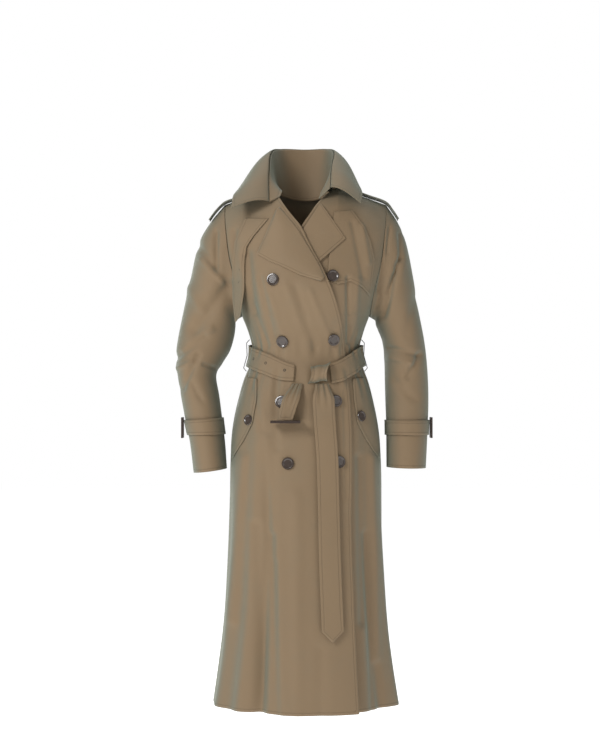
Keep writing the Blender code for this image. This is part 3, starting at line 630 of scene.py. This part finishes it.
def hard(name, colour, roughness, scale, contrast, coat):
    """A hard finish: its colour streaked by noise, with a fine bump and a clear coat."""
    made, shader = new_material(name)
    if shader is None:
        return made
    tree = made.node_tree
    add, link = tree.nodes.new, tree.links.new
    place = add("ShaderNodeTexCoord")
    streak = noise(tree, place, scale, 5)
    mix = add("ShaderNodeMix")
    mix.data_type = "RGBA"
    mix.inputs[6].default_value = (*colour, 1)
    mix.inputs[7].default_value = (*(min(1, channel * contrast) for channel in colour), 1)
    link(streak, mix.inputs[0])
    link(mix.outputs[2], shader.inputs["Base Color"])
    bump = add("ShaderNodeBump")
    bump.inputs["Strength"].default_value = 0.2
    bump.inputs["Distance"].default_value = 0.0004
    link(streak, bump.inputs["Height"])
    link(bump.outputs["Normal"], shader.inputs["Normal"])
    shader.inputs["Roughness"].default_value = roughness
    shader.inputs["Coat Weight"].default_value = coat
    shader.inputs["Coat Roughness"].default_value = 0.12
    return made


def horn():
    return hard("polished_horn", HORN, 0.22, 180, 4.0, 0.6)


def leather():
    return hard("covered_leather", LEATHER, 0.40, 900, 2.0, 0.2)


def thread():
    return hard("black_thread", THREAD, 0.75, 2500, 2.5, 0.0)


# ---- Settings -----------------------------------------------------------------------------------
class CoatCloth(bpy.types.PropertyGroup):
    """Fineness of the cloth, its colour, and the grey-green of its painted sheen."""

    rows: bpy.props.IntProperty(
        name="Rows", description="Rows of a front from shoulder to hem", default=230, min=40
    )
    columns: bpy.props.IntProperty(name="Columns", description="Columns of a front", default=110, min=20)
    face: bpy.props.FloatVectorProperty(
        name="Face", description="Colour of cloth that faces front or back", subtype="COLOR", default=BROWN
    )
    # Grey-green of the painted sheen on cloth turned to the side or upwards
    turned: bpy.props.FloatVectorProperty(
        name="Turned", description="Colour of cloth turned to the side", subtype="COLOR", default=PAINTED_SHEEN_GREEN
    )


class CoatStage(bpy.types.PropertyGroup):
    """Studio sizes."""

    distance: bpy.props.FloatProperty(
        name="Distance", description="Camera distance in front of the coat", default=3.5, unit="LENGTH"
    )
    height: bpy.props.FloatProperty(
        name="Height", description="Camera height", default=-0.387, unit="LENGTH"
    )
    offset: bpy.props.FloatProperty(
        name="Offset", description="Camera place across", default=-0.0118, unit="LENGTH"
    )
    lens: bpy.props.FloatProperty(name="Lens", description="Focal length in millimetres", default=78.1)
    floor: bpy.props.FloatProperty(name="Floor", description="Floor height", default=-1.32, unit="LENGTH")


# ---- Pieces -------------------------------------------------------------------------------------
def fine_levels(rows):
    """Levels from the shoulder to the hem: quarter-circle spacing at the shoulder, then even."""
    turn = np.linspace(0, math.pi / 2, max(rows // 6, 8))
    upper = SHOULDER_TURN * (np.sin(math.pi / 2 - turn) - 1)
    upper[0] = TOP_LEVEL
    lower = np.linspace(-SHOULDER_TURN, HEM, rows - len(upper) + 1)[1:]
    return np.concatenate([upper, lower])


def front_grid(side, edge_name, out_rule):
    settings = bpy.context.scene.coat_cloth
    level = fine_levels(settings.rows)[:, None]
    knots = column(FRONT_EDGE, EDGE_COLUMNS, "height")
    edge = smooth_along(level, knots, column(FRONT_EDGE, EDGE_COLUMNS, edge_name))
    side_angle = side * (armhole_angle(level) - SEAM_ANGLE)
    share = np.linspace(0, 1, settings.columns + 1)[None, :]
    angle = angle_at(edge, level) * (1 - share) + side_angle * share
    x = body(angle, level)[..., 0]
    return body(angle, level, out_rule(x, level))


class TRENCH_OT_fronts(bpy.types.Operator):
    """Right front over left front, each from its front edge to the side seam"""

    bl_idname = "trench.fronts"
    bl_label = "Fronts"

    def execute(self, context):
        right = front_grid(-1, "right_front", right_front_out)
        left = front_grid(1, "left_front", lambda x, level: 0.0 * x)
        cloth("front_right_cloth", right, (0, -1, 0), ["front_right"], stitched="bl")
        cloth("front_left_cloth", left, (0, -1, 0), ["front_left"], stitched="bl")
        return {"FINISHED"}


class TRENCH_OT_back(bpy.types.Operator):
    """Back panel, cut down to the neck"""

    bl_idname = "trench.back"
    bl_label = "Back"

    def execute(self, context):
        settings = context.scene.coat_cloth
        level = fine_levels(settings.rows)[:, None]
        start = armhole_angle(level) - SEAM_ANGLE
        share = np.linspace(-1, 1, settings.columns + 61)[None, :]
        angle = math.pi - share * start
        x = body(angle, level)[..., 0]
        drop = 0.020 * np.sqrt(np.maximum(1 - (x / NECK_HALF_WIDTH) ** 2, 0))
        level = np.minimum(level - drop * ramp(level, -0.09, 0), TOP_LEVEL)
        cloth("back_cloth", body(angle, level), (0, 1, 0), ["back"], stitched="b")
        return {"FINISHED"}


def sleeve_grid(table, side, rows, sides):
    """Sleeve as rings between the armhole loop and the cuff, each column a smooth curve through
    the rings of the table."""
    turn = np.arange(sides) * 2 * math.pi / sides
    level = np.minimum(UNDERARM / 2 - UNDERARM / 2 * np.cos(turn), TOP_LEVEL)
    angle = armhole_angle(level)
    angle = np.where(turn <= math.pi, angle, math.pi - angle)
    loop = body(side * angle, level) + np.array([side * 0.0010, 0, 0])
    rings = [loop]
    for outer_x, outer_z, inner_x, inner_z, middle_y, half_depth in table:
        middle_x, middle_z = (outer_x + inner_x) / 2, (outer_z + inner_z) / 2
        x = middle_x + (outer_x - middle_x) * np.cos(turn)
        z = middle_z + (outer_z - middle_z) * np.cos(turn)
        rings.append(np.stack([side * x, middle_y - half_depth * np.sin(turn), z], -1))
    rings = np.array(rings)
    knots = np.arange(len(rings), dtype=float)
    at = np.linspace(0, knots[-1], rows)
    low = np.clip(at.astype(int), 0, len(rings) - 2)
    t = (at - low)[:, None, None]
    slope = np.gradient(rings, axis=0)
    return ((2 * t**3 - 3 * t**2 + 1) * rings[low] + (t**3 - 2 * t**2 + t) * slope[low]
            + (3 * t**2 - 2 * t**3) * rings[low + 1] + (t**3 - t**2) * slope[low + 1])


def outward(points, closed):
    """Unit normals of a grid, away from the middle of each ring."""
    across = np.roll(points, -1, 1) - np.roll(points, 1, 1) if closed else np.gradient(points, axis=1)
    normal = np.cross(across, np.gradient(points, axis=0))
    normal /= np.maximum(np.linalg.norm(normal, axis=-1, keepdims=True), 1e-12)
    away = points - points.mean(1, keepdims=True)
    flip = np.sign((normal * away).sum(-1).mean())
    return normal * flip


class TRENCH_OT_sleeves(bpy.types.Operator):
    """Both sleeves, with elbow creases"""

    bl_idname = "trench.sleeves"
    bl_label = "Sleeves"

    def execute(self, context):
        pairs = (
            ("sleeve_right", RIGHT_SLEEVE, -1, RIGHT_SLEEVE_CREASES),
            ("sleeve_left", LEFT_SLEEVE, 1, LEFT_SLEEVE_CREASES),
        )
        for name, table, side, creases in pairs:
            grid = sleeve_grid(table, side, SLEEVE_ROWS, SLEEVE_SIDES)
            near_armhole = np.clip(np.arange(SLEEVE_ROWS) / 8, 0, 1)[:, None]
            fade = ramp(grid[..., 2], -0.455, -0.43) * near_armhole
            strength = np.where(grid[..., 1] < grid[..., 1].mean(1, keepdims=True), 1.0, 0.7) * fade
            depth = creased(grid[..., 0], grid[..., 2], creases) * strength
            grid = grid + outward(grid, True) * depth[..., None]
            ring = grid[SLEEVE_ROWS // 2]
            cloth(name + "_cloth", grid, ring[SLEEVE_SIDES // 2] - ring.mean(0), [name], closed=True, stitched="b")
        return {"FINISHED"}


def collar_line(prefix, count):
    knots = np.linspace(0, 1, len(COLLAR))
    at = np.linspace(0, 1, count)
    lines = [smooth_along(at, knots, column(COLLAR, COLLAR_COLUMNS, prefix + axis)) for axis in ("_x", "_y", "_z")]
    return np.stack(lines, 1)


def neck_line(count):
    """Foot of the collar stand: just inside the neck edge of each front, and round the back."""
    ends = []
    knots = column(FRONT_EDGE, EDGE_COLUMNS, "height")
    for edge_name, levels in (("right_front", (-0.034, -0.017)), ("left_front", (-0.017, -0.034))):
        level = np.array(levels)
        edge = smooth_along(level, knots, column(FRONT_EDGE, EDGE_COLUMNS, edge_name))
        low = level < -0.03
        inside = np.where(low, 0.002, 0.012) * np.sign(edge)
        out = np.where(low, 0.0105 if edge_name == "right_front" else 0.0035, 0.004)
        ends.append(body(angle_at(edge - inside, level), level, out))
    turn = np.radians(np.array([-72.0, -45.0, -20.0, 0.0, 20.0, 45.0, 72.0]))
    ring = np.stack([0.063 * np.sin(turn), 0.054 * np.cos(turn), -0.008 + 0.014 * np.sin(turn) ** 2], 1)
    points = np.concatenate([ends[0], ring, ends[1]])
    knots = np.linspace(0, 1, len(points))
    return np.stack([smooth_along(np.linspace(0, 1, count), knots, points[:, k]) for k in range(3)], 1)


class TRENCH_OT_collar(bpy.types.Operator):
    """Collar stand, and the leaf that falls from its roll line"""

    bl_idname = "trench.collar"
    bl_label = "Collar"

    def execute(self, context):
        count = 121
        roll, edge, foot = collar_line("roll", count), collar_line("edge", count), neck_line(count)
        v = np.linspace(0, 1, 33)[:, None, None]
        away = edge - roll
        lift = np.cross(np.gradient(roll, axis=0), away)
        lift /= np.linalg.norm(lift, axis=1)[:, None]
        lift *= np.sign(lift[:, 2:3] + 1e-9)
        wave = 0.0012 * np.sin(np.linspace(0, 9 * math.pi, count))[None, :, None] * v
        rise = 0.010 * np.sin(math.pi * v**0.75)
        leaf = roll[None] + v * away[None] + (rise + wave) * lift[None]
        cloth("collar_leaf_cloth", leaf, (0, 1, 0.5), ["collar_leaf"], stitched="blr")
        inner = roll * np.array([0.970, 0.970, 1]) - np.array([0, 0, 0.0012])
        stand = inner[None] * (1 - v) + foot[None] * v
        cloth("collar_stand_cloth", stand, (0, 1, 0), ["collar_stand"], stitched="b")
        return {"FINISHED"}


def edge_points(corners, count):
    """Points evenly spaced along a line through the corners."""
    corners = np.array(corners, float)
    steps = np.linalg.norm(np.diff(corners, axis=0), axis=1)
    along = np.concatenate([[0], np.cumsum(steps)])
    at = np.linspace(0, along[-1], count)
    return np.stack([np.interp(at, along, corners[:, k]) for k in range(corners.shape[1])], 1)


def patch(top, bottom, left, right, across, down):
    """Coons patch between four edges: the two blends of facing edges, less the blend of the corners."""
    top, bottom = edge_points(top, across + 1), edge_points(bottom, across + 1)
    left, right = edge_points(left, down + 1), edge_points(right, down + 1)
    u = np.linspace(0, 1, across + 1)[None, :, None]
    v = np.linspace(0, 1, down + 1)[:, None, None]
    corners = (1 - u) * (1 - v) * top[0] + u * (1 - v) * top[-1] + (1 - u) * v * bottom[0] + u * v * bottom[-1]
    return (1 - v) * top[None] + v * bottom[None] + (1 - u) * left[:, None] + u * right[:, None] - corners


class TRENCH_OT_lapels(bpy.types.Operator):
    """Both turned-back lapels and the storm flap on the wearer's left chest"""

    bl_idname = "trench.lapels"
    bl_label = "Lapels and storm flap"

    def execute(self, context):
        right = patch(
            top=((-0.053, -0.042), (-0.062, -0.050)),
            bottom=((0.038, -0.184), (0.030, -0.193)),
            left=(
                (-0.053, -0.042), (-0.036, -0.062), (-0.013, -0.088),
                (0.006, -0.121), (0.024, -0.153), (0.038, -0.184),
            ),
            right=(
                (-0.062, -0.050), (-0.101, -0.134), (-0.074, -0.150),
                (-0.043, -0.164), (-0.012, -0.180), (0.030, -0.193),
            ),
            across=40, down=90,
        )
        x, height = right[..., 0], right[..., 1]
        lift = 0.0035 * np.sin(math.pi * np.linspace(0, 1, 41))[None, :] ** 0.8
        out = right_front_out(x, height) + OVERLAY_OUT + lift
        cloth("lapel_right_cloth", on_body(x, height, out), (0, -1, 0), ["lapel_right"], stitched="r")
        left = patch(
            top=((0.030, -0.030), (0.034, -0.033)),
            bottom=((-0.020, -0.125), (0.012, -0.146)),
            left=((0.030, -0.030), (0.012, -0.058), (-0.006, -0.085), (-0.020, -0.125)),
            right=((0.034, -0.033), (0.083, -0.102), (0.028, -0.152), (0.012, -0.146)),
            across=40, down=70,
        )
        points = on_body(left[..., 0], left[..., 1], LAPEL_LEFT_OUT)
        cloth("lapel_left_cloth", points, (0, -1, 0), ["lapel_left"], stitched="r")
        flap = patch(
            top=((0.060, -0.046), (0.098, -0.042)),
            bottom=((0.045, -0.190), (0.068, -0.198), (0.093, -0.192), (0.118, -0.204), (0.1335, -0.221)),
            left=((0.060, -0.046), (0.050, -0.120), (0.045, -0.190)),
            right=(
                (0.098, -0.042), (0.118, -0.070), (0.135, -0.104),
                (0.1445, -0.150), (0.140, -0.178), (0.1335, -0.221),
            ),
            across=50, down=80,
        )
        points = on_body(flap[..., 0], flap[..., 1], STORM_FLAP_OUT)
        cloth("storm_flap_cloth", points, (0, -1, 0), ["storm_flap"],
              stitched="br")
        return {"FINISHED"}


class TRENCH_OT_straps(bpy.types.Operator):
    """Throat latch, shoulder straps, cuff straps and pocket flaps"""

    bl_idname = "trench.straps"
    bl_label = "Straps and pocket flaps"

    def execute(self, context):
        latch = patch(
            top=((-0.128, -0.056), (-0.078, -0.060)),
            bottom=((-0.149, -0.277), (-0.1377, -0.263)),
            left=((-0.128, -0.056), (-0.149, -0.106), (-0.155, -0.152), (-0.154, -0.231), (-0.149, -0.277)),
            right=(
                (-0.078, -0.060), (-0.1096, -0.096), (-0.124, -0.118),
                (-0.128, -0.148), (-0.129, -0.210), (-0.1377, -0.263),
            ),
            across=20, down=80,
        )
        x, height = latch[..., 0], latch[..., 1]
        above = np.maximum(height, -0.19)
        lain = on_body(x * 0.98, above, LATCH_OUT + right_front_out(x, above))
        lain[..., 0], lain[..., 2] = x, height
        cloth("throat_latch_cloth", lain, (0, -1, 0), ["throat_latch"], stitched="blr")
        for name, side in (("pocket_flap_right", -1), ("pocket_flap_left", 1)):
            points = patch(
                top=((0.121, -0.392), (0.098, -0.394)),
                bottom=((0.1535, -0.548), (0.149, -0.562)),
                left=((0.121, -0.392), (0.139, -0.440), (0.150, -0.500), (0.1535, -0.548)),
                right=((0.098, -0.394), (0.101, -0.440), (0.108, -0.486), (0.129, -0.526), (0.149, -0.562)),
                across=24, down=70,
            )
            x, height = side * points[..., 0], points[..., 1]
            out = OVERLAY_OUT + (right_front_out(x, height) if side < 0 else 0)
            cloth(name + "_cloth", on_body(x, height, out), (0, -1, 0), [name], stitched="br")
        lines = {
            "shoulder_strap_right": (
                -1, ((0.118, 0.002), (0.150, -0.009), (0.174, -0.018), (0.192, -0.035), (0.207, -0.055))
            ),
            "shoulder_strap_left": (
                1, ((0.104, 0.008), (0.135, -0.0035), (0.172, -0.017), (0.188, -0.035), (0.200, -0.053))
            ),
        }
        for name, (side, line) in lines.items():
            line = np.array(line)
            knots = np.linspace(0, 1, len(line))
            at = np.linspace(0, 1, 60)
            across = np.linspace(-1, 1, 21)[None, :]
            x = side * smooth_along(at, knots, line[:, 0])[:, None] + 0 * across
            z = smooth_along(at, knots, line[:, 1])[:, None] + 0.0035 - 0.004 * across**2
            y = 0.021 * across - 0.004 + 0 * x
            cloth(name + "_cloth", np.stack([x, y, z], -1), (0, 0, 1), [name], stitched="blr")
        for name, table, side in (("cuff_strap_right", RIGHT_SLEEVE, -1), ("cuff_strap_left", LEFT_SLEEVE, 1)):
            sleeve = sleeve_grid(table, side, CUFF_ROWS, SLEEVE_SIDES)
            outer = sleeve[:, 0, 2]
            rows = np.interp(-np.linspace(-0.484, -0.515, 9), -outer, np.arange(float(CUFF_ROWS))).astype(int)
            band = sleeve[rows] + outward(sleeve, True)[rows] * CUFF_STRAP_OUT
            ring = band[len(band) // 2]
            cloth(name + "_cloth", band, ring[SLEEVE_SIDES // 2] - ring.mean(0), [name],
                  closed=True, stitched="tb")
        return {"FINISHED"}


class TRENCH_OT_belt(bpy.types.Operator):
    """Belt band, its knot, the short end with the buckle and the long pointed end"""

    bl_idname = "trench.belt"
    bl_label = "Belt"

    def execute(self, context):
        angle = np.radians(np.linspace(20.0, 352.0, 361))[None, :]
        wrapped = (angle + math.pi) % (2 * math.pi) - math.pi
        knots = column(BELT_LINE, BELT_COLUMNS, "angle")
        middle = smooth_along(np.degrees(wrapped), knots, column(BELT_LINE, BELT_COLUMNS, "height"))
        share = np.linspace(0.5, -0.5, 17)[:, None]
        pinch = 1 - 0.30 * np.exp(-((wrapped / math.radians(16)) ** 2))
        band = body(wrapped, middle + share * BELT_WIDTH * pinch, BELT_OUT + 0.0012 * np.cos(math.pi * share))
        cloth("belt_band_cloth", band, (0, 1, 0), ["belt_band"], stitched="tb")
        for name, table, point in (("belt_long_end", LONG_END, LONG_END_POINT), ("belt_short_end", SHORT_END, None)):
            count = 160 if point is not None else 50
            knots = column(table, END_COLUMNS, "height")
            height = np.linspace(knots[0], knots[-1], count)[:, None]
            middle, half, out = (
                smooth_along(height, knots, column(table, END_COLUMNS, part))
                for part in ("middle", "half_width", "out")
            )
            share = np.linspace(-1, 1, 25)[None, :]
            half = half * (1 - 0.35 * ramp(height, -0.440, -0.405))
            drop = 0 * share + 0 * height
            if point is not None:
                reach = np.linspace(0, 1, count)[:, None] ** 24
                drop = (point - knots[-1]) * (1 - np.abs(share)) * reach
            x, z = middle + half * share, height + drop
            pleat = 0.0035 * ramp(height, -0.47, -0.405) * np.cos(1.5 * math.pi * share) ** 2
            points = on_body(x, z, out + right_front_out(x, z) + pleat)
            cloth(name + "_cloth", points, (0, -1, 0), [name], stitched="blr")
        self.knot()
        return {"FINISHED"}

    def knot(self):
        """A band wrapped over the crossing: round in the side view, pinched at its middle and
        puffed at its edges."""
        x, height = KNOT_CENTRE
        centre = on_body(x, height, KNOT_OUT + 0.004)
        turn = np.radians(np.linspace(-105, 105, 60))[:, None]
        share = np.linspace(-1, 1, 40)[None, :]
        puff = 1 + 0.10 * share**2 + 0.06 * np.cos(5 * share + 1.0)
        wide = 0.0205 * (1 - 0.22 * np.cos(turn) ** 2)
        y = centre[1] - 0.0160 * puff * np.cos(turn)
        z = centre[2] + 0.0175 * puff * np.sin(turn) + 0.004 * share
        across = centre[0] + wide * share + 0.003 * np.sin(turn)
        points = np.stack([across, y, z], -1)
        cloth("belt_knot_cloth", points, (0, -1, 0), ["belt_knot"], stitched="lr")


def surface_normal(x, height):
    """Outward unit normal of the front of the body, from small steps across and up."""
    step = 0.002
    across = on_body(x + step, height) - on_body(x - step, height)
    up = on_body(x, height + step) - on_body(x, height - step)
    normal = np.cross(across, up)
    return normal / np.linalg.norm(normal)


class TRENCH_OT_trimmings(bpy.types.Operator):
    """Finishes of the buttons, buckles and carriers, and the eyelets of the latch and the belt"""

    bl_idname = "trench.trimmings"
    bl_label = "Trimmings"

    def execute(self, context):
        finishes = {"button": horn(), "buckle": leather(), "carrier": thread()}
        for name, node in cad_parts.items():
            for word, finish in finishes.items():
                if word not in name:
                    continue
                if not node.material_slots:
                    raise RuntimeError(f"{name} has no material slot")
                for slot in node.material_slots:
                    slot.material = finish
        ring = ((0.0016, -0.0002), (0.0030, 0.0), (0.0030, 0.0006), (0.0020, 0.0009), (0.0014, 0.0003))
        eyelets = (
            (-0.139, -0.166, 0.0042), (-0.139, -0.190, 0.0042), (-0.140, -0.213, 0.0042),
            (-0.102, -0.353, 0.0086), (-0.079, -0.362, 0.0086), (-0.042, -0.377, 0.0086),
        )
        spots = []
        for x, height, out in eyelets:
            extra = right_front_out(x, height) if height > -0.3 else 0
            spots.append((on_body(x, height, out + extra), surface_normal(x, height), ring))
        lumps("eyelets", spots, thread)
        return {"FINISHED"}


class TRENCH_OT_stage(bpy.types.Operator):
    """Pale floor, soft studio lights and the camera"""

    bl_idname = "trench.stage"
    bl_label = "Studio"

    def execute(self, context):
        settings = context.scene.coat_stage
        bpy.ops.mesh.primitive_plane_add(size=14, location=(0, 3, settings.floor))
        floor = bpy.context.object
        floor.name = "floor"
        made, shader = new_material("pale_floor")
        shader.inputs["Base Color"].default_value = (0.93, 0.93, 0.93, 1)
        shader.inputs["Roughness"].default_value = 0.8
        shader.inputs["Emission Color"].default_value = (1, 1, 1, 1)
        shader.inputs["Emission Strength"].default_value = 0.7
        floor.data.materials.append(made)
        camera = bpy.data.objects.new("camera", bpy.data.cameras.new("camera"))
        context.scene.collection.objects.link(camera)
        camera.location = (settings.offset, -settings.distance, settings.height)
        camera.rotation_euler = (math.pi / 2, 0, 0)
        camera.data.lens = settings.lens
        context.scene.camera = camera
        lights = (
            ("key", (-1.9, -2.3, 1.1), 1.1, 58),
            ("fill", (2.2, -2.4, 0.2), 1.8, 8),
            ("top", (0.0, 0.6, 2.2), 1.8, 20),
            ("rim", (-1.4, 2.4, 0.3), 1.4, 22),
        )
        for name, place, size, power in lights:
            data = bpy.data.lights.new(name, "AREA")
            data.size = size
            data.energy = power
            light = bpy.data.objects.new(name, data)
            light.location = place
            aim = Vector((0, 0, -0.45)) - Vector(place)
            light.rotation_euler = aim.to_track_quat("-Z", "Y").to_euler()
            context.scene.collection.objects.link(light)
        world = bpy.data.worlds.new("studio")
        context.scene.world = world
        world.use_nodes = True
        tree = world.node_tree
        tree.nodes["Background"].inputs["Color"].default_value = (1, 1, 1, 1)
        seen = tree.nodes.new("ShaderNodeLightPath")
        strength = math_node(tree, "ADD", math_node(tree, "MULTIPLY", seen.outputs["Is Camera Ray"], 0.68), 0.32)
        tree.links.new(strength, tree.nodes["Background"].inputs["Strength"])
        context.scene.view_settings.view_transform = "Standard"
        return {"FINISHED"}


class TRENCH_PT_panel(bpy.types.Panel):
    """Lists the pieces of the coat"""

    bl_label = "Trench coat"
    bl_idname = "TRENCH_PT_panel"
    bl_space_type = "VIEW_3D"
    bl_region_type = "UI"
    bl_category = "Trench coat"

    def draw(self, context):
        for settings in (context.scene.coat_cloth, context.scene.coat_stage):
            for part in settings.bl_rna.properties.keys():
                if part not in ("rna_type", "name"):
                    self.layout.prop(settings, part)
        for operator in OPERATORS:
            self.layout.operator(operator.bl_idname)


OPERATORS = (
    TRENCH_OT_fronts,
    TRENCH_OT_back,
    TRENCH_OT_sleeves,
    TRENCH_OT_collar,
    TRENCH_OT_lapels,
    TRENCH_OT_straps,
    TRENCH_OT_belt,
    TRENCH_OT_trimmings,
    TRENCH_OT_stage,
)
CLASSES = (CoatCloth, CoatStage, *OPERATORS, TRENCH_PT_panel)


def register():
    for one in CLASSES:
        bpy.utils.register_class(one)
    bpy.types.Scene.coat_cloth = bpy.props.PointerProperty(type=CoatCloth)
    bpy.types.Scene.coat_stage = bpy.props.PointerProperty(type=CoatStage)


def unregister():
    del bpy.types.Scene.coat_cloth
    del bpy.types.Scene.coat_stage
    for one in reversed(CLASSES):
        bpy.utils.unregister_class(one)


def main():
    register()
    bpy.ops.trench.fronts()
    bpy.ops.trench.back()
    bpy.ops.trench.sleeves()
    bpy.ops.trench.collar()
    bpy.ops.trench.lapels()
    bpy.ops.trench.straps()
    bpy.ops.trench.belt()
    bpy.ops.trench.trimmings()
    bpy.ops.trench.stage()


if __name__ == "__main__":
    main()
